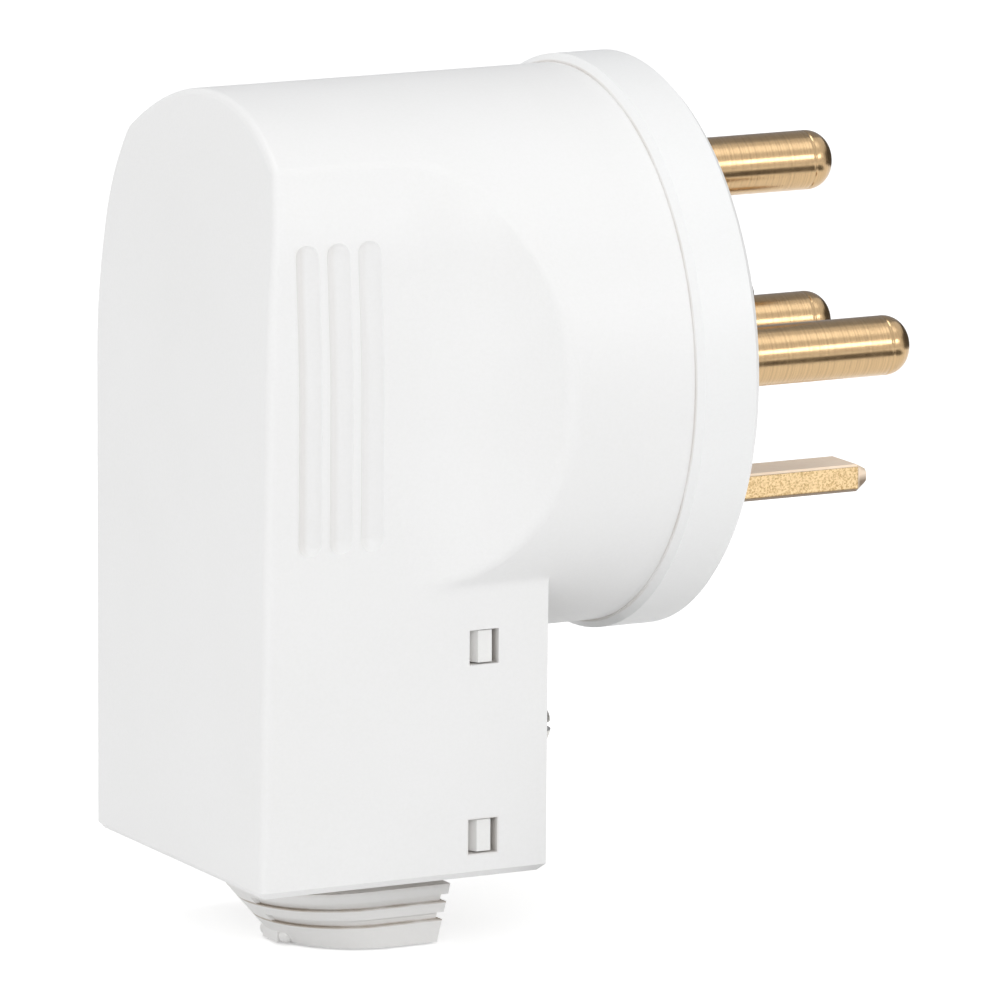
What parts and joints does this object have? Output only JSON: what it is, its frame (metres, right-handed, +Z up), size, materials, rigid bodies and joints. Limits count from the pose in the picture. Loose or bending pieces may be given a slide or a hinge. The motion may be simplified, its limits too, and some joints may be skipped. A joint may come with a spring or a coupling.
{
  "type": "three-phase plug",
  "caption": "Right-angle three-phase plug: round pins in a cross, a flat earth pin, a flat-sided grip and a stepped cable outlet below.",
  "frame": {"origin": "middle of the contact face, on the neutral pin's axis", "axes": "+X the way the pins point, +Z up with the earth pin at the bottom, Y across the flat sides"},
  "size_m": [0.0763, 0.0575, 0.0865],
  "materials": {
    "housing_plastic": "white moulded thermoplastic, satin to semi gloss",
    "carrier_plastic": "white moulded thermoplastic, semi gloss",
    "outlet_plastic": "softer white plastic, matt",
    "clamp_plastic": "white moulded plastic, matt",
    "pin_brass": "turned brass with fine turning rings",
    "earth_brass": "stamped brass, satin top with a sheared side",
    "insert_brass": "plain turned brass",
    "screw_steel": "nickel plated steel, satin",
    "washer_steel": "zinc plated steel, satin"
  },
  "bodies": {
    "root": {"cable_clamp": "clamp_plastic", "cable_outlet": "outlet_plastic", "carrier_screw_far": "screw_steel", "carrier_screw_near": "screw_steel", "clamp_screw_far": "screw_steel", "clamp_screw_near": "screw_steel", "cover_insert_far": "insert_brass", "cover_insert_near": "insert_brass", "cover_screw_far": "screw_steel", "cover_screw_near": "screw_steel", "earth_pin": "earth_brass", "front_cover": "housing_plastic", "housing": "housing_plastic", "neutral_pin": "pin_brass", "phase_pin_far": "pin_brass", "phase_pin_near": "pin_brass", "phase_pin_top": "pin_brass", "pin_carrier": "carrier_plastic", "terminal_screw_earth": "screw_steel", "terminal_screw_neutral": "screw_steel", "terminal_screw_phase_far": "screw_steel", "terminal_screw_phase_near": "screw_steel", "terminal_screw_phase_top": "screw_steel", "terminal_washer_earth": "washer_steel", "terminal_washer_neutral": "washer_steel", "terminal_washer_phase_far": "washer_steel", "terminal_washer_phase_near": "washer_steel", "terminal_washer_phase_top": "washer_steel"}
  },
  "joints": []
}
